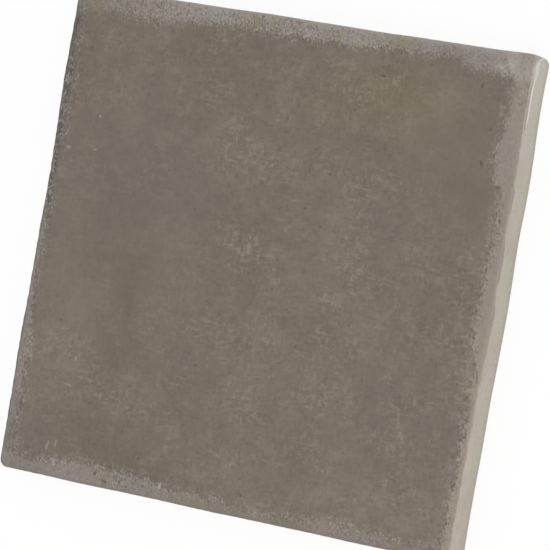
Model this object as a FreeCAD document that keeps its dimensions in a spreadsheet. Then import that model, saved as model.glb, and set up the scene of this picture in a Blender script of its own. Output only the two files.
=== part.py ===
"""Square glazed floor tile with a cushioned face and a keyed back, fired as one piece.

Millimetres and degrees. The origin is the centre of the back, +Z rises through the face, and the sides
run along X and Y. The outline at the arris, where the sides meet the cushioned edge of the face, drives
both the sides below it and the cushion above it.
"""
import FreeCAD, Part
import math
import os
import Sketcher

OUT_FOLDER = "parts"
TILE_NAME = "floor_tile"

# Driving dimensions: alias, value, meaning
DRIVING_SIZES = (
    ("side_length", 150.0, "side of the square, measured at the arris"),
    ("thickness", 15.0, "back to face"),
    ("corner_radius", 2.5, "upright corners, in plan, at the arris"),
    ("side_draft", 0.5, "angle at which the sides lean in towards the back"),
    ("cushion_width", 7.0, "arris to flat face, in plan"),
    ("cushion_drop", 2.0, "flat face down to the arris"),
    ("face_corner_radius", 6.0, "corners of the flat face, in plan"),
    ("arris_radius", 1.0, "rounding between cushion and side"),
    ("back_radius", 0.8, "rounding between side and back"),
    ("key_recess", 19.0, "side of one square mortar recess, at the back"),
    ("key_rib", 3.0, "rib left between two recesses"),
    ("key_border", 9.0, "least plain border around the recesses"),
    ("key_depth", 1.0, "depth of a recess"),
    ("key_corner_radius", 2.0, "corners of a recess, in plan"),
    ("key_draft", 20.0, "angle at which the walls of a recess lean in"),
)

# Shares of the cushion's width at which its sections stand, from the arris to the flat face
CUSHION_SHARES = (0.0, 0.25, 0.5, 0.75, 1.0)

# The cushion is an arc that leaves the flat face without a crease
CUSHION_RADIUS = "(sizes.cushion_width ^ 2 + sizes.cushion_drop ^ 2) / (2 * sizes.cushion_drop)"
ARRIS_HEIGHT = "sizes.thickness - sizes.cushion_drop"
KEY_PITCH = "sizes.key_recess + sizes.key_rib"
KEY_COUNT = f"floor((sizes.side_length - 2 * sizes.key_border - sizes.key_recess) / ({KEY_PITCH})) + 1"
KEY_SPAN = f"({KEY_COUNT} - 1) * ({KEY_PITCH})"

# How far an edge may stand off a plane and still count as lying in it
ON_PLANE = 1e-4

# Numbers that sketch constraints go by: a line's or an arc's two ends, and the sketch's own origin
START, END = 1, 2
SKETCH_ORIGIN = -1

UP = FreeCAD.Vector(0, 0, 1)
QUARTER_TURNS = (0, 90, 180, 270)


def add_sheet(doc):
    """Spreadsheet of the driving dimensions, one row each, with an alias on each value."""
    sheet = doc.addObject("Spreadsheet::Sheet", "sizes")
    for row, (alias, value, meaning) in enumerate(DRIVING_SIZES, start=1):
        sheet.set(f"A{row}", meaning)
        sheet.set(f"B{row}", str(value))
        sheet.setAlias(f"B{row}", alias)
    doc.recompute()
    return sheet


def origin_feature(body, role):
    """One of the body's own origin planes or axes."""
    return next(feature for feature in body.Origin.OriginFeatures if feature.Role == role)


def draw_rounded_square(sketch, half, round_off, middle):
    """Draws the sides and corner arcs, anticlockwise from the right side, and returns their numbers."""
    sides = []
    corners = []
    inner = half - round_off
    shift = FreeCAD.Vector(middle, middle, 0)
    for angle in QUARTER_TURNS:
        turn = FreeCAD.Rotation(UP, angle)
        low = turn.multVec(FreeCAD.Vector(half, -inner, 0)) + shift
        high = turn.multVec(FreeCAD.Vector(half, inner, 0)) + shift
        pivot = turn.multVec(FreeCAD.Vector(inner, inner, 0)) + shift
        first = math.radians(angle)
        last = first + math.pi / 2
        sides.append(sketch.addGeometry(Part.LineSegment(low, high)))
        corners.append(sketch.addGeometry(Part.ArcOfCircle(Part.Circle(pivot, UP, round_off), first, last)))
    return sides, corners


def rounded_square(body, name, half_side, radius, height="0", centre="0"):
    """Level sketch of a square with rounded corners, centred on the diagonal. Its sizes are expressions."""
    sketch = body.newObject("Sketcher::SketchObject", name)
    sketch.AttachmentSupport = [(origin_feature(body, "XY_Plane"), "")]
    sketch.MapMode = "FlatFace"
    sketch.setExpression("AttachmentOffset.Base.z", height)

    half, round_off, middle = (float(sketch.evalExpression(size)) for size in (half_side, radius, centre))
    sides, corners = draw_rounded_square(sketch, half, round_off, middle)
    right, top, left, bottom = sides
    constraint = Sketcher.Constraint
    for side, corner, next_side in zip(sides, corners, (top, left, bottom, right)):
        sketch.addConstraint(constraint("Tangent", side, END, corner, START))
        sketch.addConstraint(constraint("Tangent", corner, END, next_side, START))
    for corner in corners[1:]:
        sketch.addConstraint(constraint("Equal", corners[0], corner))
    for side in (right, left):
        sketch.addConstraint(constraint("Vertical", side))
    for side in (top, bottom):
        sketch.addConstraint(constraint("Horizontal", side))
    sketch.addConstraint(constraint("Equal", right, top))

    outer = f"{centre} + {half_side}"
    dimensions = (
        ("side", constraint("DistanceX", left, START, right, START, 2 * half), f"2 * ({half_side})"),
        ("round_off", constraint("Radius", corners[0], round_off), radius),
        ("right_at", constraint("DistanceX", SKETCH_ORIGIN, START, right, START, middle + half), outer),
        ("top_at", constraint("DistanceY", SKETCH_ORIGIN, START, top, START, middle + half), outer),
    )
    for label, dimension, expression in dimensions:
        number = sketch.addConstraint(dimension)
        sketch.renameConstraint(number, label)
        sketch.setExpression(f"Constraints.{label}", expression)
    return sketch


def cushion_section(body, index, share):
    """Outline of the cushion at a share of its width, with corners that open out towards the flat face."""
    run = f"sizes.cushion_width * {1.0 - share}"
    drop = f"({CUSHION_RADIUS} - sqrt(({CUSHION_RADIUS}) ^ 2 - ({run}) ^ 2))"
    return rounded_square(
        body,
        f"cushion_outline_{index}",
        half_side=f"sizes.side_length / 2 - sizes.cushion_width * {share}",
        radius=f"sizes.corner_radius + (sizes.face_corner_radius - sizes.corner_radius) * {share}",
        height=f"sizes.thickness - {drop}",
    )


def edges_at(feature, height):
    """Names of a feature's edges that lie level at a height."""
    names = []
    for number, edge in enumerate(feature.Shape.Edges, start=1):
        box = edge.BoundBox
        if abs(box.ZMin - height) < ON_PLANE and abs(box.ZMax - height) < ON_PLANE:
            names.append(f"Edge{number}")
    return names


def round_edges(body, name, base, height, radius):
    """Fillet on the level edges of the feature below it."""
    body.Document.recompute()
    fillet = body.newObject("PartDesign::Fillet", name)
    fillet.Base = (base, edges_at(base, height))
    fillet.setExpression("Radius", radius)
    return fillet


def add_slab(body, outline):
    """The sides, from the arris down to the back."""
    slab = body.newObject("PartDesign::Pad", "slab")
    slab.Profile = outline
    slab.Reversed = True
    slab.setExpression("Length", ARRIS_HEIGHT)
    slab.setExpression("TaperAngle", "-sizes.side_draft")
    return slab


def add_cushion(body, sections):
    """The crowned edge and the flat face, from the arris up."""
    cushion = body.newObject("PartDesign::AdditiveLoft", "cushion")
    cushion.Profile = sections[0]
    cushion.Sections = sections[1:]
    return cushion


def add_keys(body):
    """Square grid of shallow recesses in the back, which the mortar keys into."""
    outline = rounded_square(
        body,
        "key_outline",
        half_side="sizes.key_recess / 2",
        radius="sizes.key_corner_radius",
        centre=f"-{KEY_SPAN} / 2",
    )
    recess = body.newObject("PartDesign::Pocket", "key_recess")
    recess.Profile = outline
    recess.Reversed = True
    recess.setExpression("Length", "sizes.key_depth")
    recess.setExpression("TaperAngle", "-sizes.key_draft")
    body.Document.recompute()

    grid = body.newObject("PartDesign::LinearPattern", "key_grid")
    grid.Originals = [recess]
    grid.Direction = (origin_feature(body, "X_Axis"), [""])
    grid.Direction2 = (origin_feature(body, "Y_Axis"), [""])
    for suffix in ("", "2"):
        grid.setExpression(f"Length{suffix}", KEY_SPAN)
        grid.setExpression(f"Occurrences{suffix}", KEY_COUNT)
    body.Tip = grid
    return grid


def add_tile(doc):
    """The whole tile as one body."""
    body = doc.addObject("PartDesign::Body", TILE_NAME)
    body.Label = TILE_NAME
    sections = [cushion_section(body, index, share) for index, share in enumerate(CUSHION_SHARES)]
    doc.recompute()
    add_slab(body, sections[0])
    cushion = add_cushion(body, sections)
    arris_height = float(cushion.evalExpression(ARRIS_HEIGHT))
    arris = round_edges(body, "arris", cushion, arris_height, "sizes.arris_radius")
    round_edges(body, "back_edge", arris, 0.0, "sizes.back_radius")
    add_keys(body)
    doc.recompute()
    return body


def check(doc, bodies):
    """Stops the build if a feature failed, or a sub-part isn't one sound solid."""
    for item in doc.Objects:
        if "Invalid" in item.State or "Error" in item.State:
            raise RuntimeError(f"{item.Name} failed: {item.State}")
    for body in bodies:
        shape = body.Shape
        if shape.isNull() or not shape.isValid() or len(shape.Solids) != 1:
            raise RuntimeError(f"{body.Label} isn't one sound solid")


def main():
    doc = FreeCAD.newDocument(TILE_NAME)
    add_sheet(doc)
    bodies = [add_tile(doc)]
    check(doc, bodies)
    os.makedirs(OUT_FOLDER, exist_ok=True)
    for body in bodies:
        body.Shape.exportStep(os.path.join(OUT_FOLDER, f"{body.Label}.step"))
        box = body.Shape.BoundBox
        print(
            f"{body.Label}: {box.XLength:.2f} x {box.YLength:.2f} x {box.ZLength:.2f} mm, "
            f"{body.Shape.Volume / 1000:.2f} cm3, {len(body.Shape.Faces)} faces"
        )


main()
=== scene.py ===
import bmesh
import bpy
import math
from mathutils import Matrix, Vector


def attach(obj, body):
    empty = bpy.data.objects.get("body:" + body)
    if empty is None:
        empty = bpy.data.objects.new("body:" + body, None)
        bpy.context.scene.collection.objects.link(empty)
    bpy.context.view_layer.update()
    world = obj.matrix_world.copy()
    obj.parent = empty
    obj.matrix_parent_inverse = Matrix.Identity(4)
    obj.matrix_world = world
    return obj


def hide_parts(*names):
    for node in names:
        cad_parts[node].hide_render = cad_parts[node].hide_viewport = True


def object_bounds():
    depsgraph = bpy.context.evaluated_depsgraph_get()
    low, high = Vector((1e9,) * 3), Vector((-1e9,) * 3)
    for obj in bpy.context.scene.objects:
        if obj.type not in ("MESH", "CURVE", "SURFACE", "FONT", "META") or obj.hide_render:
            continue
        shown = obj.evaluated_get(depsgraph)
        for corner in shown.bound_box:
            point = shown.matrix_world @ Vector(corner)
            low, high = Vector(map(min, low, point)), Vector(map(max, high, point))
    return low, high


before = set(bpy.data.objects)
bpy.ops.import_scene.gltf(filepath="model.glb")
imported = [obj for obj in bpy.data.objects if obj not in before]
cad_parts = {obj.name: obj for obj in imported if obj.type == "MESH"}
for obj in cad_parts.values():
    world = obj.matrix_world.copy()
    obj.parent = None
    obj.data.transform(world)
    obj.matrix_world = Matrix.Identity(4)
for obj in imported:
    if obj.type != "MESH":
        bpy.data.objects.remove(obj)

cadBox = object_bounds()
mm = 0.001
halfSide = (cadBox[1].x - cadBox[0].x) / 2
tileTop = cadBox[1].z
samePoint = 0.001 * mm  # points closer than this are one point

# the tile's form, in millimetres unless the name says otherwise
tileForm = {
    "cornerRadius": 2.5,  # upright corners, seen from above
    "sideDraftDegrees": 0.5,  # the sides lean in towards the back
    "cushionWidth": 7.0,  # rounded edge of the face, seen from above
    "cushionDrop": 2.0,
    "faceCornerRadius": 6.0,  # corners of the flat part of the face
    "arrisRadius": 1.0,
    "backRadius": 0.8,
    "backBorder": 6.5,  # plain border of the back that is divided as finely as the sides
    "cornerSegments": 8,
    "straightSteps": (16, 13),  # a straight stretch is divided in 16, then each piece in 13
    "borderRings": 4,
    "backRings": 3,
    "sideRings": 12,
    "arrisRings": 5,
    "cushionRings": 11,
}

# mortar recesses in the back
keyForm = {
    "perSide": 6,
    "recess": 19.0,
    "rib": 3.0,
    "depth": 1.0,
    "draftDegrees": 20.0,
    "cornerRadius": 2.0,
    "cornerSegments": 4,
    "straightSteps": (8,),
    "mergeWithin": 0.01,  # neighbouring copies share the points of their common border
}


def selectOnly(obj):
    bpy.ops.object.select_all(action="DESELECT")
    obj.select_set(True)
    bpy.context.view_layer.objects.active = obj


def emptyMesh(name):
    # an object of its own, with nothing in its mesh yet, left in edit mode
    bpy.ops.object.select_all(action="DESELECT")
    bpy.ops.mesh.primitive_plane_add(size=1.0)
    obj = bpy.context.object
    obj.name = name
    obj.data.name = name
    bpy.ops.object.mode_set(mode="EDIT")
    bpy.ops.mesh.delete(type="VERT")
    return obj


def selectEdges(obj, wanted):
    # edit mode: selects the edges that the test picks, and nothing else
    bpy.ops.mesh.select_all(action="DESELECT")
    bpy.ops.mesh.select_mode(type="EDGE")
    mesh = bmesh.from_edit_mesh(obj.data)
    for edge in mesh.edges:
        edge.select_set(wanted(edge))
    mesh.select_flush_mode()
    bmesh.update_edit_mesh(obj.data)


def addRing(obj, half, radius, height, form, centre=(0.0, 0.0)):
    # edit mode: one level outline, a square with rounded corners, as loose edges
    bpy.ops.mesh.select_all(action="DESELECT")
    bpy.ops.mesh.primitive_plane_add(size=2 * half, location=(centre[0], centre[1], height))
    bpy.ops.mesh.bevel(
        offset_type="OFFSET", offset=radius, segments=form["cornerSegments"], affect="VERTICES")
    bpy.ops.mesh.delete(type="ONLY_FACE")
    longest = 2 * (half - radius)  # a straight stretch between two corners
    slack = longest / 100
    selectEdges(obj, lambda edge: edge.is_wire and abs(edge.calc_length() - longest) < slack)
    for pieces in form["straightSteps"]:
        bpy.ops.mesh.subdivide(number_cuts=pieces - 1)


def tileRings():
    # half width, corner radius and height of each outline, from the back up to the flat face
    form = tileForm
    width = form["cushionWidth"] * mm
    drop = form["cushionDrop"] * mm
    arris = form["arrisRadius"] * mm
    back = form["backRadius"] * mm
    lean = math.tan(math.radians(form["sideDraftDegrees"]))
    crown = (width ** 2 + drop ** 2) / (2 * drop)  # radius of the cushion's arc
    meet = math.asin((width - arris) / (crown - arris))  # angle at which cushion and arris meet
    shoulder = tileTop - crown + (crown - arris) * math.cos(meet)  # height of the arris's centre

    profile = []
    foot = halfSide - (shoulder - back) * lean
    for step in range(form["backRings"] + 1):
        turn = math.pi / 2 * step / form["backRings"]
        profile.append((foot - back * (1 - math.sin(turn)), back * (1 - math.cos(turn))))
    for step in range(1, form["sideRings"] + 1):
        height = back + (shoulder - back) * step / form["sideRings"]
        profile.append((halfSide - (shoulder - height) * lean, height))
    for step in range(1, form["arrisRings"] + 1):
        turn = (math.pi / 2 - meet) * step / form["arrisRings"]
        profile.append((halfSide - arris * (1 - math.cos(turn)), shoulder + arris * math.sin(turn)))
    for step in range(1, form["cushionRings"] + 1):
        turn = meet * (1 - step / form["cushionRings"])
        profile.append((halfSide - width + crown * math.sin(turn), tileTop - crown * (1 - math.cos(turn))))

    rings = []
    for reach, height in profile:
        inset = halfSide - reach
        if height <= shoulder:
            radius = form["cornerRadius"] * mm - inset
        else:
            opening = (form["faceCornerRadius"] - form["cornerRadius"]) * mm
            radius = form["cornerRadius"] * mm + opening * inset / width
        rings.append((reach, radius, height))
    return rings


def modelTileShell():
    # outlines one above the other, bridged into the sides and the cushion, then the face filled with quads
    tile = emptyMesh("floorTile")
    rings = tileRings()
    for half, radius, height in rings:
        addRing(tile, half, radius, height, tileForm)
    bpy.ops.mesh.select_all(action="SELECT")
    bpy.ops.mesh.bridge_edge_loops(type="SINGLE")
    faceLevel = rings[-1][2] - samePoint
    selectEdges(tile, lambda edge: edge.is_boundary and min(v.co.z for v in edge.verts) > faceLevel)
    acrossFace = tileForm["cornerSegments"] + math.prod(tileForm["straightSteps"])
    bpy.ops.mesh.fill_grid(span=acrossFace, use_interp_simple=True)
    reach = rings[0][0]
    for step in range(tileForm["borderRings"]):
        # the back's border grows inwards, edge loop by edge loop
        selectEdges(tile, lambda edge: edge.is_boundary)
        bpy.ops.mesh.extrude_edges_move()
        inner = reach - tileForm["backBorder"] * mm / tileForm["borderRings"]
        bpy.ops.transform.resize(value=(inner / reach, inner / reach, 1.0), center_override=(0.0, 0.0, 0.0))
        reach = inner
    bpy.ops.object.mode_set(mode="OBJECT")
    print("tile shell:", len(tile.data.polygons), "faces")
    return tile


def modelKeyLattice():
    # one recess with half a rib all round it, copied over the back
    form = keyForm
    pitch = (form["recess"] + form["rib"]) * mm
    first = -pitch * (form["perSide"] - 1) / 2
    half = form["recess"] / 2 * mm
    radius = form["cornerRadius"] * mm
    depth = form["depth"] * mm
    run = depth * math.tan(math.radians(form["draftDegrees"]))
    across = form["cornerSegments"] + math.prod(form["straightSteps"])
    keys = emptyMesh("mortarKeys")
    addRing(keys, half - run, radius - run, depth, form, (first, first))
    addRing(keys, half, radius, 0.0, form, (first, first))
    bpy.ops.mesh.select_all(action="SELECT")
    bpy.ops.mesh.bridge_edge_loops()
    selectEdges(keys, lambda edge: edge.is_boundary and min(v.co.z for v in edge.verts) > depth / 2)
    bpy.ops.mesh.fill_grid(span=across, use_interp_simple=True)
    bpy.ops.mesh.select_all(action="DESELECT")
    bpy.ops.mesh.primitive_plane_add(size=pitch, location=(first, first, 0.0))
    bpy.ops.mesh.delete(type="ONLY_FACE")
    selectEdges(keys, lambda edge: edge.is_wire)
    bpy.ops.mesh.subdivide(number_cuts=across - 1)
    selectEdges(keys, lambda edge: edge.is_wire or edge.is_boundary)
    bpy.ops.mesh.fill(use_beauty=True)
    bpy.ops.object.mode_set(mode="OBJECT")
    for axis in (0, 1):
        array = keys.modifiers.new("repeat", "ARRAY")
        array.count = form["perSide"]
        array.use_relative_offset = False
        array.use_constant_offset = True
        array.constant_offset_displace = [pitch if axis == i else 0.0 for i in range(3)]
        array.use_merge_vertices = True
        array.merge_threshold = form["mergeWithin"] * mm
        bpy.ops.object.modifier_apply(modifier=array.name)
    print("mortar keys:", len(keys.data.polygons), "faces")
    return keys


def joinBack(tile, keys):
    # the lattice of keys closes the back
    selectOnly(tile)
    keys.select_set(True)
    bpy.ops.object.join()
    bpy.ops.object.mode_set(mode="EDIT")
    selectEdges(tile, lambda edge: edge.is_boundary)
    bpy.ops.mesh.fill(use_beauty=True)
    bpy.ops.mesh.select_all(action="SELECT")
    bpy.ops.mesh.remove_doubles(threshold=samePoint)
    bpy.ops.mesh.normals_make_consistent(inside=False)
    bpy.ops.object.mode_set(mode="OBJECT")
    print("closed tile:", len(tile.data.vertices), "points,", len(tile.data.polygons), "faces")


# unevenness of pressed and fired clay, in millimetres
unevenness = {
    # soft pushes at the rim: side, place along it, height, push outwards, and how far the push spreads
    "pushes": (
        ("right", 62.0, 1.0, -0.30, 16.0),
        ("right", 37.0, 1.0, 0.30, 14.0),
        ("right", -3.0, 1.0, 0.38, 24.0),
        ("right", -58.0, 1.0, -0.16, 22.0),
        ("left", 48.0, 13.0, 0.40, 18.0),
        ("left", 65.0, 13.0, 0.18, 12.0),
        ("left", 16.0, 13.0, -0.25, 16.0),
        ("left", -36.0, 13.0, 0.28, 15.0),
        ("top", -10.0, 13.0, 0.18, 14.0),
        ("top", 24.0, 13.0, -0.12, 14.0),
        ("top", 72.0, 8.0, 0.35, 9.0),
        ("bottom", -45.0, 13.0, 0.10, 14.0),
        ("bottom", -5.0, 13.0, 0.12, 14.0),
        ("bottom", 45.0, 13.0, 0.10, 12.0),
    ),
    "rimFrom": 72.0,  # a push takes hold of points further out than this
    "pushPatch": 1.5,  # and nearer to its place than this
    # reliefs: patch size, depth, and the level of the pattern at which a point stays where it is
    "wander": (16.0, 0.14, 0.5),  # small wandering of the outline
    "faceSwell": (34.0, 0.30, 0.5),
    "sideRoughness": (2.6, 0.16, 0.5),
    "arrisChips": (1.9, 0.30, 0.9),
    "edgeWear": (2.2, 0.14, 0.7),
    # heights between which the reliefs work, and how far they fade
    "swellFrom": 9.0,
    "swellFullBelowTop": 1.0,
    "sidesUpTo": 12.6,
    "sidesFade": (1.5, 1.0),  # at the foot and at the top
    "arrisAt": 12.9,
    "arrisFade": 0.7,
    "cushionFrom": 13.0,
    "cushionEndsBelowTop": 0.02,
    "cushionFade": (0.5, 0.3),  # at its outer and inner end
    "smoothBelowDegrees": 40,
}


def pushRim(tile, side, along, height, push, fadeWidth):
    # moves a patch of the rim, and what lies around it by less and less
    across = (1.0, 0.0) if side in ("right", "left") else (0.0, 1.0)
    sign = 1.0 if side in ("right", "top") else -1.0
    rim = unevenness["rimFrom"] * mm
    reach = unevenness["pushPatch"] * mm
    bpy.ops.mesh.select_all(action="DESELECT")
    bpy.ops.mesh.select_mode(type="VERT")
    mesh = bmesh.from_edit_mesh(tile.data)
    for vert in mesh.verts:
        outward, lengthwise = (vert.co.x, vert.co.y) if across[0] else (vert.co.y, vert.co.x)
        near = sign * outward > rim and abs(lengthwise - along * mm) < reach
        vert.select_set(near and abs(vert.co.z - height * mm) < reach)
    mesh.select_flush_mode()
    bmesh.update_edit_mesh(tile.data)
    step = sign * push * mm
    bpy.ops.transform.translate(
        value=(step * across[0], step * across[1], 0.0), use_proportional_edit=True,
        proportional_edit_falloff="SMOOTH", proportional_size=fadeWidth * mm)


def addGroup(tile, name, weigh):
    # vertex group whose weights come from each point's height, in millimetres
    group = tile.vertex_groups.new(name=name)
    for vert in tile.data.vertices:
        weight = weigh((vert.co / mm).z)
        if weight > 0.0:
            group.add([vert.index], min(weight, 1.0), "REPLACE")
    return group.name


def displace(tile, name, settings, direction, group="", kind="CLOUDS"):
    size, depth, middle = settings
    texture = bpy.data.textures.new(name, kind)
    texture.noise_scale = size * mm
    modifier = tile.modifiers.new(name, "DISPLACE")
    modifier.texture = texture
    modifier.texture_coords = "LOCAL"
    modifier.direction = direction
    modifier.strength = depth * mm
    modifier.mid_level = middle
    modifier.vertex_group = group
    bpy.ops.object.modifier_apply(modifier=modifier.name)


def addUnevenness(tile):
    form = unevenness
    selectOnly(tile)
    bpy.ops.object.mode_set(mode="EDIT")
    for push in form["pushes"]:
        pushRim(tile, *push)
    bpy.ops.object.mode_set(mode="OBJECT")
    top = tileTop / mm
    swellRise = top - form["swellFullBelowTop"] - form["swellFrom"]
    sidesFoot, sidesHead = form["sidesFade"]
    cushionOuter, cushionInner = form["cushionFade"]
    cushionFrom = form["cushionFrom"]
    cushionEnd = top - form["cushionEndsBelowTop"]
    face = addGroup(tile, "face", lambda level: (level - form["swellFrom"]) / swellRise)
    sides = addGroup(
        tile, "sides", lambda level: min(level / sidesFoot, (form["sidesUpTo"] - level) / sidesHead))
    arris = addGroup(tile, "arris", lambda level: 1.0 - abs(level - form["arrisAt"]) / form["arrisFade"])
    cushion = addGroup(
        tile, "cushion",
        lambda level: min((level - cushionFrom) / cushionOuter, (cushionEnd - level) / cushionInner))
    displace(tile, "wanderAcross", form["wander"], "X")
    displace(tile, "wanderAlong", form["wander"], "Y")
    displace(tile, "faceSwell", form["faceSwell"], "Z", face)
    displace(tile, "sideRoughness", form["sideRoughness"], "NORMAL", sides)
    displace(tile, "arrisChips", form["arrisChips"], "NORMAL", arris, "STUCCI")
    displace(tile, "edgeWear", form["edgeWear"], "NORMAL", cushion)
    tile.vertex_groups.clear()
    bpy.ops.object.shade_smooth_by_angle(angle=math.radians(form["smoothBelowDegrees"]))
    print("uneven tile:", [round(length / mm, 2) for length in tile.dimensions], "mm")


tile = modelTileShell()
joinBack(tile, modelKeyLattice())
addUnevenness(tile)

# what the tile's patterns have in common, lengths in millimetres
patterns = {
    "edgeSpan": 150.0,  # ramps along an edge run over this length, centred on it
    "seedStep": (137.0, -211.0, 89.0),  # how far a seed of 1 moves a pattern
    "middle": 0.5,  # a cloudy pattern swings to both sides of this
    "solidCore": 0.3,  # share of a thin line or a speck that is solid, the rest fades
    "smallestSpeck": 0.4,  # share of the radius asked for, the largest are one radius more
    "warpDetail": 2.0,
    "ovalLevel": 15.0,  # ovals lie at the face's height, and reach so far up and down
    "ovalDepth": 100.0,  # that height hardly matters to them
}


def paint(red, green, blue):
    # a colour as a colour picker shows it, 0 to 255, made linear for a socket by the sRGB curve
    channels = []
    for part in (red, green, blue):
        share = part / 255
        channels.append(share / 12.92 if share <= 0.04045 else ((share + 0.055) / 1.055) ** 2.4)
    return (*channels, 1.0)


def paintAll(tints):
    return {name: paint(*tint) for name, tint in tints.items()}


nodeBench = {}  # holds the node tree that is being filled


def startNodes(owner):
    # empties the node tree of a material or a world, and fills that one from here on
    owner.use_nodes = True
    owner.node_tree.nodes.clear()
    nodeBench["tree"] = owner.node_tree


def link(output, socket):
    nodeBench["tree"].links.new(output, socket)


def addNode(kind, sockets=(), **settings):
    # sockets are a dictionary by name or number, or values for the first few sockets in their order
    node = nodeBench["tree"].nodes.new(kind)
    for name, value in settings.items():
        setattr(node, name, value)
    pairs = sockets.items() if isinstance(sockets, dict) else enumerate(sockets)
    for key, value in pairs:
        if isinstance(value, bpy.types.NodeSocket):
            link(value, node.inputs[key])
        else:
            node.inputs[key].default_value = value
    return node


def calc(operation, first, second=0.0, third=0.0):
    return addNode("ShaderNodeMath", (first, second, third), operation=operation).outputs[0]


def times(*values):
    product = values[0]
    for value in values[1:]:
        product = calc("MULTIPLY", product, value)
    return product


def swing(pattern):
    # how far a cloudy pattern is above or below its middle
    return calc("SUBTRACT", pattern, patterns["middle"])


def spread(value, low, high, lowOut=0.0, highOut=1.0):
    # eases from lowOut at low to highOut at high
    settings = (value, low, high, lowOut, highOut)
    return addNode("ShaderNodeMapRange", settings, interpolation_type="SMOOTHSTEP").outputs[0]


def calcPlace(operation, *values):
    return addNode("ShaderNodeVectorMath", values, operation=operation).outputs[0]


def scaled(place, factor):
    return addNode("ShaderNodeVectorMath", {0: place, "Scale": factor}, operation="SCALE").outputs[0]


def moved(place, seed):
    # another part of the same endless pattern
    return calcPlace("ADD", place, tuple(seed * step for step in patterns["seedStep"]))


def drawnOut(place, stretch, turnDegrees):
    # makes the pattern that follows longer along x and y, and turns it
    turn = (0.0, 0.0, math.radians(turnDegrees))
    sockets = {"Vector": place, "Rotation": turn, "Scale": stretch}
    return addNode("ShaderNodeMapping", sockets, vector_type="TEXTURE").outputs[0]


def cloudNode(place, size, seed, detail, rough=0.5, dimensions="2D"):
    # cloudy pattern whose patches are about as large as size, in millimetres; its place is made before its
    # own node, because in that order the large shader holds fewer values at once, and too many render black
    spot = moved(place, seed)
    sockets = {"Vector": spot, "Scale": 1.0 / size, "Detail": detail, "Roughness": rough}
    return addNode("ShaderNodeTexNoise", sockets, noise_dimensions=dimensions)


def noise(place, size, seed, detail, rough=0.5, dimensions="2D"):
    return cloudNode(place, size, seed, detail, rough, dimensions).outputs["Fac"]


def warped(place, size, amount, seed):
    # pushes the pattern that follows about, so that its shapes come out ragged
    node = cloudNode(place, size, seed, patterns["warpDetail"])
    return calcPlace("MULTIPLY_ADD", node.outputs["Color"], (2.0 * amount, 2.0 * amount, 0.0), place)


def lacework(pattern, width):
    # thin lines where a cloudy pattern crosses its middle
    away = calc("ABSOLUTE", swing(pattern))
    return spread(away, width, width * patterns["solidCore"])


def specks(place, spacing, radius, share, dimensions="2D"):
    # scattered specks, in millimetres, kept in a share of the cells
    sockets = {"Vector": place, "Scale": 1.0 / spacing}
    node = addNode("ShaderNodeTexVoronoi", sockets, voronoi_dimensions=dimensions)
    chance = addNode("ShaderNodeSeparateColor", [node.outputs["Color"]])
    kept = calc("LESS_THAN", chance.outputs[0], share)
    least = patterns["smallestSpeck"] * radius / spacing
    size = calc("MULTIPLY_ADD", chance.outputs[1], radius / spacing, least)
    away = calc("DIVIDE", node.outputs["Distance"], size)
    return times(spread(away, 1.0, patterns["solidCore"]), kept)


def patch(place, centre, halfSize):
    # one at the centre of an oval, fading to nothing at its rim
    middle = (*centre, patterns["ovalLevel"])
    sockets = {"Vector": place, "Location": middle, "Scale": (*halfSize, patterns["ovalDepth"])}
    oval = addNode("ShaderNodeMapping", sockets, vector_type="TEXTURE").outputs[0]
    return addNode("ShaderNodeTexGradient", [oval], gradient_type="QUADRATIC_SPHERE").outputs["Fac"]


def mixColour(amount, first, second):
    # the node's colour sockets come after those for numbers and vectors
    return addNode("ShaderNodeMix", {0: amount, 6: first, 7: second}, data_type="RGBA").outputs[2]


def shareAlong(along):
    # place along an edge, from 0 at its start to 1 at its end
    return calc("MULTIPLY_ADD", along, 1.0 / patterns["edgeSpan"], 0.5)


def ramp(share, stops):
    # values up to 1, or colours, given at places along an edge and eased between them
    isColour = isinstance(stops[0][1], tuple)
    span = patterns["edgeSpan"]
    node = addNode("ShaderNodeValToRGB", [share])
    node.color_ramp.interpolation = "EASE"
    points = node.color_ramp.elements
    while len(points) < len(stops):
        points.new(1.0)
    for point, (place, value) in zip(points, stops):
        point.position = (place + span / 2) / span
        point.color = value if isColour else (value, value, value, value)
    return node.outputs["Color" if isColour else "Alpha"]


def shareRamp(share, stops, longest):
    # a ramp of lengths, each as its share of the longest that is allowed
    return ramp(share, [(place, length / longest) for place, length in stops])


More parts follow.
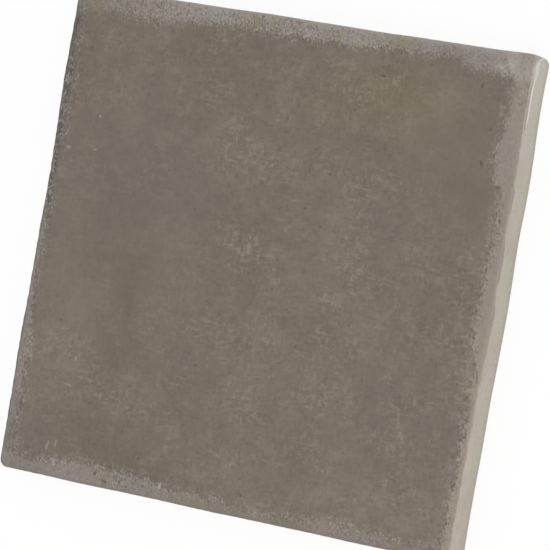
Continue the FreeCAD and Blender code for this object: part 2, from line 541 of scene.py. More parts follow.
glazeLook = {
    "tints": {
        "warm": (110, 99, 86),
        "cool": (108, 97, 86),
        "pale": (140, 130, 115),
        "dark": (81, 69, 57),
        "fleck": (150, 139, 129),
        "pit": (78, 67, 55),
        "olive": (116, 104, 82),
        "mauve": (107, 95, 89),
        "paintedHighlight": (216, 208, 201),  # painted highlight: the light caught at the glaze's lower edge, also the tint of the painted sheen
    },
    "roughness": 0.42,
    "arrisGloss": 0.2,  # roughness of the arris that has kept its gloss
    # a noise is its patch size in millimetres, its seed, its detail and its roughness
    "warmth": (38.0, 1.0, 2.0),
    "warmToCool": (0.3, 0.7),
    # clouds from large to small: the levels between which they turn pale and dark, and the most of each
    "clouds": {
        "broad": {"noise": (24.0, 1.7, 3.0, 0.55), "pale": (0.5, 0.8, 0.20), "dark": (0.5, 0.2, 0.20)},
        "mottle": {"noise": (6.0, 2.0, 4.0, 0.65), "pale": (0.5, 0.85, 0.38), "dark": (0.5, 0.15, 0.32)},
        "grain": {"noise": (0.9, 4.0, 2.0, 0.6), "pale": (0.52, 0.85, 0.14), "dark": (0.48, 0.15, 0.14)},
    },
    "mottleRelief": 0.05,
    "grainRelief": 0.012,
    # a warp is its patch size and amount in millimetres, and its seed
    "patchWarp": (14.0, 4.0, 21.0),
    # broad patches: tint, centre, half width and half height in millimetres, and amount
    "patches": (
        ("dark", (-36, -12), (14, 66), 0.34),
        ("dark", (-29, -64), (26, 16), 0.38),
        ("dark", (38, 59), (40, 16), 0.34),
        ("dark", (-66, 58), (16, 20), 0.12),
        ("dark", (-30, 39), (28, 15), 0.36),
        ("dark", (58, 10), (16, 26), 0.24),
        ("dark", (25, -9), (17, 13), 0.32),
        ("dark", (-24, -8), (13, 14), 0.20),
        ("pale", (-56, -32), (24, 34), 0.36),
        ("pale", (-63, 14), (14, 32), 0.12),
        ("pale", (40, -58), (46, 17), 0.44),
        ("pale", (66, -58), (12, 16), 0.18),
        ("pale", (17, -70), (12, 8), 0.26),
        ("pale", (-68, -12), (8, 16), 0.18),
        ("dark", (-69, 12), (8, 16), 0.22),
        ("dark", (-18, -69), (14, 9), 0.22),
        ("pale", (18, -28), (56, 26), 0.16),
        ("pale", (30, 12), (42, 28), 0.10),
        ("pale", (12, -60), (40, 20), 0.16),
        ("olive", (38, 60), (44, 20), 0.7),
        ("mauve", (-36, 28), (40, 36), 0.7),
        ("mauve", (-70, 20), (14, 46), 0.6),
        ("mauve", (-66, -62), (18, 16), 0.6),
    ),
    # where the face is smoother: centre, half width and half height in millimetres, and how much smoother
    "quietPatches": (
        ((-44, 12), (52, 62), 0.42),
        ((60, 46), (30, 36), 0.55),
    ),
    "quietRim": (0.02, 0.3),
    # single marks: tint, centre, half width and half height in millimetres
    "marks": (
        ("fleck", (-68.0, 26.2), (1.3, 0.9)),
        ("fleck", (-60.4, -69.8), (0.5, 2.2)),
        ("fleck", (-58.0, -64.6), (0.6, 2.6)),
        ("fleck", (-55.2, -63.8), (0.5, 2.2)),
        ("fleck", (-71.5, 51.5), (0.8, 2.0)),
        ("fleck", (-59.1, 37.0), (0.9, 0.9)),
        ("fleck", (-58.9, 26.8), (1.2, 0.5)),
        ("fleck", (-53.3, -36.9), (0.9, 1.2)),
        ("pale", (-54.5, -45.2), (2.4, 0.7)),
        ("pale", (-3.0, 5.6), (1.4, 2.6)),
        ("pit", (65.0, 42.3), (1.1, 1.6)),
        ("pit", (66.2, 52.4), (1.2, 0.9)),
        ("pit", (61.3, 64.4), (0.9, 1.3)),
        ("pit", (30.2, 62.9), (1.3, 1.1)),
        ("pit", (29.6, 65.2), (1.0, 0.8)),
        ("pit", (-27.2, -62.8), (1.0, 0.8)),
    ),
    "markWarp": (1.6, 0.7, 23.0),
    "markRim": (0.05, 0.4, 0.0, 0.7),  # fades in between the first two, up to the last
    "fleckWarp": (0.8, 0.5, 12.0),
    "flecks": (4.6, 0.45, 0.35),  # spacing, radius, and share of the cells that have one
    "fleckAmount": 0.5,
    "pits": (5.2, 0.45, 0.35),
    "pitSeed": 0.37,
    "pitAmount": 0.6,
}

# short light and dark strokes and lacy hooks in the glaze
strokeLook = {
    "closeness": (13.0, 8.0, 2.0),  # noise that makes them closer together here than there
    "closenessRange": (0.3, 0.7, 0.35, 0.65),
    # where they are closer together, or further apart: amount, centre, half width and half height
    "closerPatches": (
        (0.40, (-13, 32), (17, 15)),
        (0.35, (-3, 4), (15, 16)),
        (0.25, (30, 60), (18, 13)),
        (0.225, (-60, -40), (20, 18)),
        (0.125, (35, -5), (60, 60)),
        (0.10, (10, -45), (60, 34)),
        (-0.10, (-50, 0), (32, 50)),
        (-0.125, (58, 48), (22, 34)),
    ),
    "sparseToBusy": (0.35, 0.85),
    "directions": (((1.0, 2.2, 1.0), 2.6), ((2.6, 1.0, 1.0), 5.2)),  # stretch along x and y, and seed
    "turnDegrees": 3.0,
    "bendSize": 2.5,
    "bendAmount": 0.9,
    "bendSeed": 1.1,  # added to the stroke's own
    "width": 1.1,
    "detail": 1.0,
    "light": (0.56, 0.76),
    "lightAmount": (0.08, 0.46),  # where they are sparse, and where they are busy
    "dark": (0.42, 0.26),
    "darkAmount": 0.2,
    "lace": (3.4, 6.0, 2.0, 0.6),
    "laceWidth": 0.035,
    "laceBreaks": (2.2, 9.0, 1.0),
    "laceBreaksBetween": (0.52, 0.62),
    "laceAmount": 0.32,
}


def addStrokes(place, colour, tints):
    look = strokeLook
    busy = spread(noise(place, *look["closeness"]), *look["closenessRange"])
    for amount, centre, halfSize in look["closerPatches"]:
        busy = calc("MULTIPLY_ADD", patch(place, centre, halfSize), amount, busy)
    busy = spread(busy, *look["sparseToBusy"])
    for stretch, seed in look["directions"]:
        drawn = drawnOut(place, stretch, look["turnDegrees"])
        bent = warped(drawn, look["bendSize"], look["bendAmount"], seed + look["bendSeed"])
        stroke = noise(bent, look["width"], seed, look["detail"])
        light = spread(stroke, *look["light"])
        light = times(light, spread(busy, 0.0, 1.0, *look["lightAmount"]))
        colour = mixColour(light, colour, tints["pale"])
        dark = times(spread(stroke, *look["dark"]), look["darkAmount"])
        colour = mixColour(dark, colour, tints["dark"])
    lace = lacework(noise(place, *look["lace"]), look["laceWidth"])
    broken = spread(noise(place, *look["laceBreaks"]), *look["laceBreaksBetween"])
    colour = mixColour(times(lace, broken, busy, look["laceAmount"]), colour, tints["fleck"])
    return colour, busy


def addGlaze(place):
    # warm and cool, broad patches, mottles and grain, then strokes, flecks, pits and single marks
    look = glazeLook
    tints = paintAll(look["tints"])
    warmth = spread(noise(place, *look["warmth"]), *look["warmToCool"])
    colour = mixColour(warmth, tints["warm"], tints["cool"])
    drifted = warped(place, *look["patchWarp"])
    for tint, centre, halfSize, amount in look["patches"]:
        oval = patch(drifted, centre, halfSize)
        colour = mixColour(times(oval, amount), colour, tints[tint])
    clouds = {}
    for name, layer in look["clouds"].items():
        clouds[name] = noise(place, *layer["noise"])
        for tint in ("pale", "dark"):
            start, full, most = layer[tint]
            amount = spread(clouds[name], start, full, 0.0, most)
            colour = mixColour(amount, colour, tints[tint])
        if name == "broad":
            calm = colour  # the smoother places go back towards this
    colour, busy = addStrokes(place, colour, tints)
    ragged = warped(place, *look["fleckWarp"])
    flecks = times(specks(ragged, *look["flecks"]), busy, look["fleckAmount"])
    colour = mixColour(flecks, colour, tints["fleck"])
    pits = specks(moved(ragged, look["pitSeed"]), *look["pits"])
    colour = mixColour(times(pits, look["pitAmount"]), colour, tints["pit"])
    for centre, halfSize, amount in look["quietPatches"]:
        smooth = spread(patch(drifted, centre, halfSize), *look["quietRim"], 0.0, amount)
        colour = mixColour(smooth, colour, calm)
    torn = warped(place, *look["markWarp"])
    for tint, centre, halfSize in look["marks"]:
        mark = spread(patch(torn, centre, halfSize), *look["markRim"])
        colour = mixColour(mark, colour, tints[tint])
    fineRelief = times(clouds["grain"], look["grainRelief"])
    height = calc("MULTIPLY_ADD", clouds["mottle"], look["mottleRelief"], fineRelief)
    return colour, height


# what shows where the glaze is worn off the rounded edge, and the painted shade and highlight lines along
# it
wornLook = {
    "tints": {
        "grey": (132, 122, 111),
        "ash": (142, 132, 121),
        "mauve": (132, 121, 115),
        "haze": (140, 131, 126),
        "mist": (131, 122, 115),
        "olive": (129, 120, 104),
        "rose": (134, 121, 112),
        "slate": (127, 119, 113),
        "moss": (111, 106, 90),
        "fern": (130, 124, 107),
        "rust": (150, 122, 108),
        # painted shade on the left edge, which faces away from the lamps
        "paintedShade": (81, 73, 66),
        "grit": (163, 156, 147),
        "sand": (164, 155, 141),
        "tan": (133, 122, 108),
        "pearl": (160, 154, 146),
        "scar": (80, 71, 61),
        "dusk": (91, 86, 80),
    },
    # noises: patch size in millimetres, what is added to the edge's seed, detail and roughness
    "ragged": (3.5, 0.0, 4.0, 0.72),
    "coarse": (1.7, 0.6, 3.0, 0.65),
    "fine": (0.62, 0.3, 1.0, 0.5),  # its size is multiplied by the edge's grainSize
    "tintPush": 0.1,  # how far the ragged noise pushes the tints along the edge
    "longest": 10.0,  # reach and soft stay below this, in millimetres
    "rimSolid": 0.3,
    "rimPatchy": (0.3, 0.5, 0.5, 1.0),
    # the inner margin, in millimetres inside the line where the wear ends
    "marginOpens": (-2.8, -0.8),
    "marginCloses": (1.8, 0.2),
    "specksFromEdge": (0.3, 1.0),
    # levels of the fine and of the coarse noise between which a speck fades in, and its amount
    "paleSpecks": ((0.5, 0.68), (0.4, 0.54), 0.8),
    "darkSpecks": ((0.5, 0.34), (0.6, 0.46), 0.9),
    "laceWidth": 0.045,
    "laceBetween": (0.45, 0.6),
    # single marks: tint, centre, half width and half height in millimetres
    "marks": (
        ("scar", (72.1, 18.4), (0.8, 1.3)),
        ("scar", (71.2, 27.5), (0.7, 1.4)),
        ("scar", (72.4, -26.2), (0.7, 1.5)),
        ("scar", (71.9, -43.6), (0.8, 1.6)),
        ("scar", (-40.6, -69.9), (0.9, 1.4)),
        ("scar", (-37.4, -71.9), (1.2, 0.9)),
        ("scar", (-32.2, -71.2), (0.7, 1.6)),
        ("scar", (-29.8, -72.0), (0.8, 1.0)),
        ("scar", (-70.6, 4.2), (1.0, 0.9)),
        ("grit", (-54.7, -69.5), (0.6, 1.4)),
        ("grit", (-18.8, -69.9), (0.7, 1.6)),
        ("rust", (34.6, 73.6), (2.2, 0.6)),
        ("rust", (0.6, 73.4), (1.4, 0.7)),
        ("rust", (51.6, 73.8), (1.6, 0.5)),
    ),
    "markWarp": (1.3, 0.8, 27.0),
    "markRim": (0.05, 0.45, 0.0, 0.75),
}

# the four worn edges, by place along each in millimetres from its middle
wornEdges = {
    "top": {
        # how far in the wear reaches
        "reach": ((-75, 5.2), (-60, 6.4), (-47, 7.4), (-38, 6.0), (-20, 4.8), (0, 5.4), (15, 5.2),
                  (35, 4.5), (51, 3.9), (60, 6.6), (75, 7.6)),
        "strength": ((-75, 0.6), (-60, 0.65), (-45, 0.7), (-34, 0.9), (-20, 1.0), (20, 0.9), (45, 0.8),
                     (52, 0.7), (62, 0.8), (68, 0.9), (72, 1.0)),
        # how full of specks it is
        "speckle": ((-75, 0.5), (-58, 0.9), (-40, 0.9), (-34, 0.7), (-26, 0.7), (-5, 0.8), (20, 0.55),
                    (40, 0.35), (62, 0.5), (75, 0.3)),
        "tints": ((-75, "moss"), (-67, "olive"), (-60, "slate"), (-52, "grey"), (-42, "ash"), (-34, "haze"),
                  (-26, "haze"), (-17, "olive"), (-11, "olive"), (-5, "mist"), (0, "rose"), (6, "haze"),
                  (12, "olive"), (17, "haze"), (24, "ash"), (31, "fern"), (36, "fern"), (41, "haze"),
                  (49, "rose"), (58, "haze"), (65, "ash"), (69, "pearl"), (75, "pearl")),
        # how gently it fades out
        "soft": ((-75, 2.2), (-40, 2.0), (-25, 1.2), (10, 1.0), (30, 0.9), (50, 1.4), (60, 2.2), (75, 2.2)),
        # pale and dark specks along its inner margin
        "chain": ((-75, 0.35), (75, 0.35)),
        "darkChain": ((-75, 0.3), (75, 0.3)),
        "ragged": 4.25,  # how far the margin swings in and out
        "broken": 5.0,  # how much the fine grain breaks it up
        "speck": "grit",  # tint of the pale specks
        "lace": 0.6,  # amount of pale hooks
        "grainStretch": (1.0, 1.6, 1.0),  # draws the grain out along x and y
        "grainTurn": 28.0,
        "grainSize": 0.9,
        "rim": ("pearl", 0.45, 2.6),  # line at the outermost edge: tint, amount and width
        "seed": 7.0,
    },
    "right": {
        "reach": ((-75, 2.9), (-60, 2.6), (-48, 2.2), (-37, 2.0), (-28, 1.8), (-18, 1.8), (-11, 3.4),
                  (-4, 4.0), (5, 3.8), (12, 3.0), (20, 2.7), (30, 3.0), (34, 3.0), (38, 6.5), (44, 7.2),
                  (50, 6.2), (56, 5.2), (61, 5.5), (66, 4.5), (75, 5.5)),
        "strength": ((-75, 1.0), (-15, 1.0), (0, 0.88), (35, 0.84), (56, 1.0), (62, 0.85), (68, 0.8),
                     (75, 0.9)),
        "speckle": ((-75, 0.15), (36, 0.1), (40, 0.2), (50, 0.2), (55, 0.1), (64, 0.4), (75, 0.3)),
        "tints": ((-75, "tan"), (-20, "tan"), (8, "grey"), (40, "grey"), (46, "mauve"), (51, "grey"),
                  (64, "grey"), (72, "ash")),
        "soft": ((-75, 0.5), (-12, 0.5), (0, 0.7), (50, 0.7), (60, 1.6), (75, 2.0)),
        "chain": ((-75, 0.36), (-52, 0.34), (-40, 0.26), (-30, 0.12), (-18, 0.18), (0, 0.3), (75, 0.32)),
        "darkChain": ((-75, 0.8), (38, 0.8), (50, 0.35), (60, 0.2), (75, 0.2)),
        "ragged": 5.5,
        "broken": 2.0,
        "speck": "sand",
        "lace": 1.2,
        "grainStretch": (1.2, 1.9, 1.0),
        "grainTurn": 6.0,
        "grainSize": 0.95,
        # a pale line along the arris, partly wear and partly painted highlight
        "rim": ("sand", 0.22, 1.6),
        "seed": 3.0,
    },
    "bottom": {
        "reach": ((-75, 4.0), (-60, 4.3), (-54, 5.4), (-42, 6.4), (-28, 5.7), (-15, 4.2), (-3, 3.8),
                  (6, 2.6), (14, 1.8), (22, 3.0), (36, 4.6), (50, 4.0), (60, 3.2), (75, 3.0)),
        "strength": ((-75, 0.6), (-62, 0.66), (-55, 1.0), (-44, 0.95), (-37, 0.78), (-22, 0.85), (-8, 0.65),
                     (6, 0.4), (22, 0.25), (35, 0.75), (50, 0.7), (60, 0.4), (75, 0.3)),
        "speckle": ((-75, 0.4), (-55, 0.3), (-43, 0.35), (-40, 0.8), (-31, 0.7), (-25, 0.5), (-10, 0.6),
                    (10, 0.6), (30, 0.45), (48, 0.6), (75, 0.3)),
        "tints": ((-75, "slate"), (-62, "slate"), (-54, "mauve"), (-43, "mauve"), (-39, "olive"),
                  (-32, "slate"), (-27, "slate"), (-18, "grey"), (-10, "olive"), (2, "slate"), (12, "grey"),
                  (22, "grey"), (36, "rose"), (47, "slate"), (55, "grey")),
        "soft": ((-75, 0.9), (-20, 0.8), (20, 1.4), (50, 1.2), (75, 1.4)),
        "chain": ((-75, 0.5), (75, 0.5)),
        "darkChain": ((-75, 0.3), (75, 0.3)),
        "ragged": 4.5,
        "broken": 3.0,
        "speck": "grit",
        "lace": 0.6,
        "grainStretch": (1.0, 1.5, 1.0),
        "grainTurn": 10.0,
        "grainSize": 1.05,
        "rim": ("dusk", 0.4, 1.1),
        "seed": 11.0,
    },
    "left": {
        "reach": ((-75, 3.6), (-67, 5.0), (-61, 4.0), (-55, 4.6), (-50, 4.2), (-45, 3.8), (-39, 4.2),
                  (-30, 3.2), (-20, 1.8), (-8, 1.8), (4, 3.4), (13, 2.4), (20, 3.6), (28, 3.0), (40, 3.0),
                  (50, 3.8), (56, 2.6), (66, 3.0), (75, 2.2)),
        "strength": ((-75, 0.65), (-54, 0.65), (-44, 0.85), (0, 0.95), (75, 1.0)),
        "speckle": ((-75, 0.6), (-58, 0.5), (-45, 0.4), (-25, 0.35), (-6, 0.35), (3, 0.6), (20, 0.6),
                    (35, 0.68), (53, 0.72), (57, 0.25), (75, 0.2)),
        # from 9 on, the dark tint is painted shade
        "tints": ((-75, "slate"), (-66, "moss"), (-57, "slate"), (-48, "mauve"), (-40, "rose"),
                  (-33, "olive"), (-25, "slate"), (-16, "mauve"), (-7, "slate"), (2, "moss"), (9, "paintedShade"),
                  (20, "paintedShade"), (30, "paintedShade"), (50, "paintedShade"), (64, "paintedShade"), (72, "moss")),
        "soft": ((-75, 0.8), (75, 0.8)),
        "chain": ((-75, 0.35), (75, 0.35)),
        "darkChain": ((-75, 0.6), (75, 0.6)),
        "ragged": 5.0,
        "broken": 3.0,
        "speck": "grit",
        "lace": 1.3,
        "grainStretch": (1.0, 1.5, 1.0),
        "grainTurn": -12.0,
        "grainSize": 1.3,
        # its outermost line is painted shade too
        "rim": ("paintedShade", 0.9, 1.3),
        "seed": 5.0,
    },
}


def edgeNoise(place, wear, name, sizeFactor=1.0):
    size, seed, detail, rough = wornLook[name]
    return noise(place, size * sizeFactor, wear["seed"] + seed, detail, rough)


def addWornEdgeWithPaintedLight(place, colour, name, fromEdge, along):
    look = wornLook
    wear = wornEdges[name]
    tints = paintAll(look["tints"])
    drawn = drawnOut(place, wear["grainStretch"], wear["grainTurn"])
    ragged = edgeNoise(drawn, wear, "ragged")
    coarse = edgeNoise(drawn, wear, "coarse")
    fine = edgeNoise(drawn, wear, "fine", wear["grainSize"])
    share = shareAlong(along)
    pushed = calc("MULTIPLY_ADD", swing(ragged), look["tintPush"], share)
    tint = ramp(pushed, [(spot, tints[tintName]) for spot, tintName in wear["tints"]])
    width = calc("MULTIPLY", shareRamp(share, wear["reach"], look["longest"]), look["longest"])
    strength = ramp(share, wear["strength"])
    speckle = ramp(share, wear["speckle"])
    inside = calc("SUBTRACT", width, fromEdge)
    inside = calc("MULTIPLY_ADD", swing(ragged), wear["ragged"], inside)
    grainy = calc("MULTIPLY_ADD", swing(fine), wear["broken"], inside)
    soft = shareRamp(share, wear["soft"], look["longest"])
    edge = calc("MULTIPLY", grainy, 1.0 / look["longest"])
    amount = times(spread(edge, calc("MULTIPLY", soft, -1.0), soft), strength)
    colour = mixColour(amount, colour, tint)
    # a line of another tint at the outermost edge; on the right it is partly a painted highlight along the
    # arris, on the left painted shade
    rimTint, rimAmount, rimWidth = wear["rim"]
    line = spread(fromEdge, rimWidth, look["rimSolid"])
    line = times(line, spread(coarse, *look["rimPatchy"]), rimAmount)
    colour = mixColour(line, colour, tints[rimTint])
    # specks in the worn glaze, and a chain of pale and dark ones along its inner margin
    margin = spread(inside, *look["marginOpens"])
    margin = times(margin, spread(inside, *look["marginCloses"]))
    inner = times(amount, speckle, spread(fromEdge, *look["specksFromEdge"]))
    paleBusy = calc("MAXIMUM", inner, times(margin, ramp(share, wear["chain"])))
    darkBusy = calc("MAXIMUM", inner, times(margin, ramp(share, wear["darkChain"])))
    speckAmounts = []
    for settings, busy in ((look["paleSpecks"], paleBusy), (look["darkSpecks"], darkBusy)):
        fineFade, coarseFade, most = settings
        speck = spread(fine, *fineFade)
        speckAmounts.append(times(speck, spread(coarse, *coarseFade), busy, most))
    colour = mixColour(speckAmounts[0], colour, tints[wear["speck"]])
    colour = mixColour(speckAmounts[1], colour, tints["scar"])
    lace = lacework(coarse, look["laceWidth"])
    hooks = times(lace, paleBusy, spread(ragged, *look["laceBetween"]), wear["lace"])
    return mixColour(calc("MINIMUM", hooks, 1.0), colour, tints[wear["speck"]])


clayLook = {
    "tints": {
        "pale": (174, 165, 154),
        "deep": (167, 157, 145),
        "shade": (153, 149, 137),  # greener towards the back, and darker there as painted shade near the floor
        "lichen": (169, 166, 149),
        "blush": (176, 165, 159),
        "bright": (176, 171, 158),  # towards the top right corner
        "stain": (128, 120, 108),
    },
    "roughness": 0.8,
    # noises as in the glaze, in three dimensions
    "cloud": (9.0, 14.0, 4.0, 0.6, "3D"),
    "paleToDeep": (0.35, 0.7),
    "brightAlong": (30.0, 72.0),  # places along the right side, in millimetres
    "tintCloud": (13.0, 16.0, 2.0, 0.5, "3D"),
    "lichenBetween": (0.5, 0.66),
    "blushBetween": (0.46, 0.3),
    "tintsByHeight": (12.0, 3.0, 0.3, 1.0),  # two heights, and the amount at each
    "shadeByHeight": (4.5, 0.5, 0.0, 0.6),
    "grain": (0.8, 15.0, 2.0, 0.6, "3D"),
    "stainBetween": (0.45, 0.2, 0.0, 0.5),
    "dots": (4.0, 0.4, 0.3, "3D"),  # spacing, radius, and share of the cells that have one
    "dotAmount": 0.5,
    "grainRelief": 0.05,
    "cloudRelief": 0.2,
}


def addClay(place, along, upward):
    look = clayLook
    tints = paintAll(look["tints"])
    cloud = noise(place, *look["cloud"])
    colour = mixColour(spread(cloud, *look["paleToDeep"]), tints["pale"], tints["deep"])
    colour = mixColour(spread(along, *look["brightAlong"]), colour, tints["bright"])
    tintCloud = noise(place, *look["tintCloud"])
    low = spread(upward, *look["tintsByHeight"])
    for tint, between in (("lichen", look["lichenBetween"]), ("blush", look["blushBetween"])):
        colour = mixColour(times(spread(tintCloud, *between), low), colour, tints[tint])
    # painted shade: the side is painted darker and greener towards the back, near the floor
    colour = mixColour(spread(upward, *look["shadeByHeight"]), colour, tints["shade"])
    grain = noise(place, *look["grain"])
    colour = mixColour(spread(grain, *look["stainBetween"]), colour, tints["stain"])
    dots = specks(place, *look["dots"])
    colour = mixColour(times(dots, look["dotAmount"]), colour, tints["stain"])
    cloudHeight = times(cloud, look["cloudRelief"])
    height = calc("MULTIPLY_ADD", grain, look["grainRelief"], cloudHeight)
    return colour, height


# where the glaze ends on the sides, in millimetres
glazeEnds = {
    "height": 12.6,  # on the three sides that aren't seen
    "alongRight": ((-75, 13.2), (-45, 13.1), (-30, 12.9), (-18, 12.8), (-14, 12.4), (-10, 12.5), (-6, 12.0),
                   (-2, 11.3), (2, 12.7), (6, 12.8), (10, 12.0), (14, 11.7), (18, 12.1), (22, 12.9),
                   (26, 12.9), (30, 12.4), (34, 12.2), (38, 12.9), (42, 12.9), (48, 12.9), (52, 12.8),
                   (57, 11.6), (64, 11.5), (66, 11.5), (67.5, 10.4), (70, 9.4), (72.5, 9.6), (75, 9.3)),
    "highest": 20.0,  # the heights above stay below this
    "rightSide": (74.0, 74.6),  # the right side takes over between these places across the tile
    "wander": (5.0, 13.0, 3.0, 0.6, "3D"),
    "waver": 1.2,
    "soft": 0.45,
    # how plainly the painted highlight at this edge shows along the right side
    "paintedHighlightRight": ((-75, 0.0), (44, 0.0), (48, 0.3), (50, 0.1), (53.5, 0.1), (56, 1.0), (65, 1.0), (67, 0.5),
                 (69, 0.4), (72, 0.6), (75, 0.8)),
    "paintedHighlightWidth": 0.65,
    "paintedHighlightSide": (72.0, 74.0),
    "paintedHighlightBelow": (12.9, 12.4),
    # painted sheen: how much paler the glaze is painted just below the arris along the right side
    "paintedSheenRight": ((-75, 0.0), (50, 0.0), (56, 0.12), (62, 0.28), (66, 0.36), (72.4, 0.38), (73.6, 0.0)),
    "paintedSheenBelow": (13.2, 12.4),
    # the glaze runs down round the top right corner: place along y and height where the run starts, its
    # slope, the softness of that edge, its lowest point, and how far it reaches back along the far side
    "runTop": (73.6, 9.3),
    "runSlope": 5.7,
    "runSoftness": 3.0,
    "runFoot": 3.2,
    "runAcross": (63.0, 74.0),
    "foldFrom": 13.2,  # height below which the glaze's pattern is folded down
    # where the arris has kept its gloss: from and to along the right edge, and how far in
    "glossFrom": (46.0, 52.0),
    "glossTo": (74.0, 73.0),
    "glossIn": (1.6, 0.9),
}


def foldDown(place, upward, half):
    # on the sides the glaze's pattern goes on downwards as if they were folded out flat
    turnAt = half - tileForm["cornerRadius"]
    inner = calcPlace("MAXIMUM", place, (-turnAt, -turnAt, -half))
    inner = calcPlace("MINIMUM", inner, (turnAt, turnAt, half))
    outward = calcPlace("NORMALIZE", calcPlace("SUBTRACT", place, inner))
    below = calc("MAXIMUM", calc("SUBTRACT", glazeEnds["foldFrom"], upward), 0.0)
    return calcPlace("ADD", place, scaled(outward, below))


def addGlazeLine(place, across, along, upward):
    # how bare the clay is below the glaze's wavering lower edge, and the painted sheen and painted
    # highlight above it
    ends = glazeEnds
    wander = noise(place, *ends["wander"])
    share = shareAlong(along)
    atRight = shareRamp(share, ends["alongRight"], ends["highest"])
    atRight = calc("MULTIPLY", atRight, ends["highest"])
    lineAt = spread(across, *ends["rightSide"], ends["height"], atRight)
    waver = times(swing(wander), ends["waver"])
    aboveLine = calc("SUBTRACT", upward, lineAt)
    runAt = spread(across, *ends["runAcross"], ends["height"], ends["runFoot"])
    runAlong, runHeight = ends["runTop"]
    beside = calc("SUBTRACT", along, runAlong)
    slant = calc("MULTIPLY_ADD", beside, ends["runSlope"], calc("SUBTRACT", upward, runHeight))
    inRun = calc("DIVIDE", slant, ends["runSoftness"])
    inRun = calc("MINIMUM", inRun, calc("SUBTRACT", upward, runAt))
    aboveLine = calc("SUBTRACT", calc("MAXIMUM", aboveLine, inRun), waver)
    bare = spread(aboveLine, ends["soft"], -ends["soft"])
    # painted sheen: the glaze just below the right arris is painted paler
    paintedSheen = times(ramp(share, ends["paintedSheenRight"]),
                  spread(upward, *ends["paintedSheenBelow"]), spread(across, *ends["rightSide"]))
    # painted highlight: a thin pale line along the glaze's lower edge
    fromPaintedHighlight = calc("ABSOLUTE", calc("SUBTRACT", aboveLine, ends["paintedHighlightWidth"] / 2))
    paintedHighlight = spread(fromPaintedHighlight, ends["paintedHighlightWidth"], 0.0)
    paintedHighlight = times(paintedHighlight, ramp(share, ends["paintedHighlightRight"]), spread(across, *ends["paintedHighlightSide"]),
                spread(upward, *ends["paintedHighlightBelow"]))
    return bare, paintedSheen, paintedHighlight


def makeTileMaterial():
    mat = bpy.data.materials.new("satinGlazeOnClay")
    startNodes(mat)
    coords = addNode("ShaderNodeTexCoord")
    place = scaled(coords.outputs["Object"], 1.0 / mm)
    across, along, upward = addNode("ShaderNodeSeparateXYZ", [place]).outputs
    half = halfSide / mm

    # glaze, worn at the four edges, with painted shade along the left edge and a partly painted highlight
    # along the right
    folded = foldDown(place, upward, half)
    colour, height = addGlaze(folded)
    fromLeft = calc("ADD", half, across)
    fromBottom = calc("ADD", half, along)
    fromTop = calc("SUBTRACT", half, along)
    fromRight = calc("SUBTRACT", half, across)
    colour = addWornEdgeWithPaintedLight(folded, colour, "left", fromLeft, along)
    colour = addWornEdgeWithPaintedLight(folded, colour, "bottom", fromBottom, across)
    colour = addWornEdgeWithPaintedLight(folded, colour, "top", fromTop, across)
    colour = addWornEdgeWithPaintedLight(folded, colour, "right", fromRight, along)
    frayed = warped(folded, *wornLook["markWarp"])
    for tint, centre, halfSize in wornLook["marks"]:
        mark = spread(patch(frayed, centre, halfSize), *wornLook["markRim"])
        colour = mixColour(mark, colour, paint(*wornLook["tints"][tint]))

    # bare clay below it
    bare, paintedSheen, paintedHighlight = addGlazeLine(place, across, along, upward)
    clay, clayHeight = addClay(place, along, upward)
    # painted sheen below the arris and painted highlight at the glaze's lower edge, both in the pale
    # highlight tint
    paintedHighlightTint = paint(*glazeLook["tints"]["paintedHighlight"])
    colour = mixColour(paintedSheen, colour, paintedHighlightTint)
    colour = mixColour(bare, colour, clay)
    colour = mixColour(paintedHighlight, colour, paintedHighlightTint)
    height = times(height, calc("SUBTRACT", 1.0, bare))
    height = calc("ADD", height, times(clayHeight, bare))

    # the arris has kept its gloss towards the top right corner
    gloss = spread(along, *glazeEnds["glossFrom"])
    glossEnd = spread(along, *glazeEnds["glossTo"])
    gloss = times(gloss, glossEnd, spread(fromRight, *glazeEnds["glossIn"]))
    roughness = spread(gloss, 0.0, 1.0, glazeLook["roughness"], glazeLook["arrisGloss"])
    roughness = spread(bare, 0.0, 1.0, roughness, clayLook["roughness"])

    bump = addNode("ShaderNodeBump", {"Height": height, "Distance": mm, "Strength": 1.0}).outputs[0]
    sockets = {"Base Color": colour, "Roughness": roughness, "Normal": bump}
    shader = addNode("ShaderNodeBsdfPrincipled", sockets).outputs[0]
    addNode("ShaderNodeOutputMaterial", {"Surface": shader})
    return mat


tile.data.materials.clear()
tile.data.materials.append(makeTileMaterial())
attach(tile, "root")
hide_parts("floor_tile")
print("tile material set")

# lengths and places in metres
studio = {
    "floorSize": 6.0,
    "floorLevel": -0.2 * mm,  # just below the back, so that the two don't coincide
    "floorColour": (250, 250, 250),
    "floorGlow": 0.91,  # share of it that the camera sees as plain white, the rest takes shadow
    "skyStrength": 0.84,
    "keyPower": 6.0,  # soft key from above
    "keySize": 1.2,
    "keyPlace": (0.5, -0.5, 1.7),
    "sidePower": 2.0,  # small low softbox on the right, for the line of light on the arris
    "sideSize": 0.25,
    "sidePlace": (1.1, 0.11, 0.40),
}


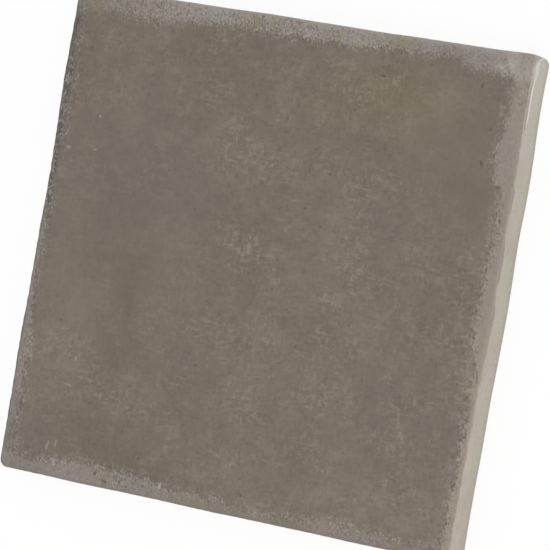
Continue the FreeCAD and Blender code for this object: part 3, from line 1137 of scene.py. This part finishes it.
def addFloor():
    bpy.ops.object.select_all(action="DESELECT")
    bpy.ops.mesh.primitive_plane_add(size=studio["floorSize"], location=(0.0, 0.0, studio["floorLevel"]))
    bpy.ops.object.transform_apply(location=True, rotation=True, scale=True)
    floor = bpy.context.object
    floor.name = "studioFloor"
    mat = bpy.data.materials.new("paleFloor")
    startNodes(mat)
    matte = addNode("ShaderNodeBsdfDiffuse", {"Color": paint(*studio["floorColour"])}).outputs[0]
    glow = addNode("ShaderNodeEmission", {"Strength": 1.0}).outputs[0]
    path = addNode("ShaderNodeLightPath")
    seen = calc("MAXIMUM", path.outputs["Is Camera Ray"], path.outputs["Is Glossy Ray"])
    seen = calc("MAXIMUM", seen, path.outputs["Is Transmission Ray"])
    blend = addNode("ShaderNodeMixShader")
    link(calc("MULTIPLY", seen, studio["floorGlow"]), blend.inputs[0])
    link(matte, blend.inputs[1])
    link(glow, blend.inputs[2])
    addNode("ShaderNodeOutputMaterial", {"Surface": blend.outputs[0]})
    floor.data.materials.append(mat)


def addSoftbox(name, place, size, power):
    # a square lamp that faces the tile
    bpy.ops.object.light_add(type="AREA", location=place)
    lamp = bpy.context.object
    lamp.name = name
    lamp.data.size = size
    lamp.data.energy = power
    lamp.rotation_euler = (-Vector(place)).to_track_quat("-Z", "Y").to_euler()


def addSky():
    world = bpy.data.worlds.new("studioSky")
    startNodes(world)
    seen = addNode("ShaderNodeLightPath").outputs["Is Camera Ray"]
    sky = addNode("ShaderNodeBackground", {"Color": (1.0, 1.0, 1.0, 1.0)})
    strength = spread(seen, 0.0, 1.0, studio["skyStrength"], 1.0)
    link(strength, sky.inputs["Strength"])
    addNode("ShaderNodeOutputWorld", {"Surface": sky.outputs[0]})
    bpy.context.scene.world = world


addFloor()
addSky()
addSoftbox("keyLight", studio["keyPlace"], studio["keySize"], studio["keyPower"])
addSoftbox("sideLight", studio["sidePlace"], studio["sideSize"], studio["sidePower"])

# the photograph's viewpoint: lens and sensor in millimetres, place in metres
view = {
    "lens": 221.776,
    "sensorWidth": 36.0,
    "place": (0.397841, 0.029043, 0.944411),
    "turnDegrees": (2.40780, 22.79252, 10.65441),
}
bpy.ops.object.camera_add(
    location=view["place"], rotation=[math.radians(angle) for angle in view["turnDegrees"]])
camera = bpy.context.object
camera.name = "photoCamera"
camera.data.lens = view["lens"]
camera.data.sensor_width = view["sensorWidth"]
scene = bpy.context.scene
scene.camera = camera
scene.view_settings.view_transform = "Standard"
print("studio and camera set")
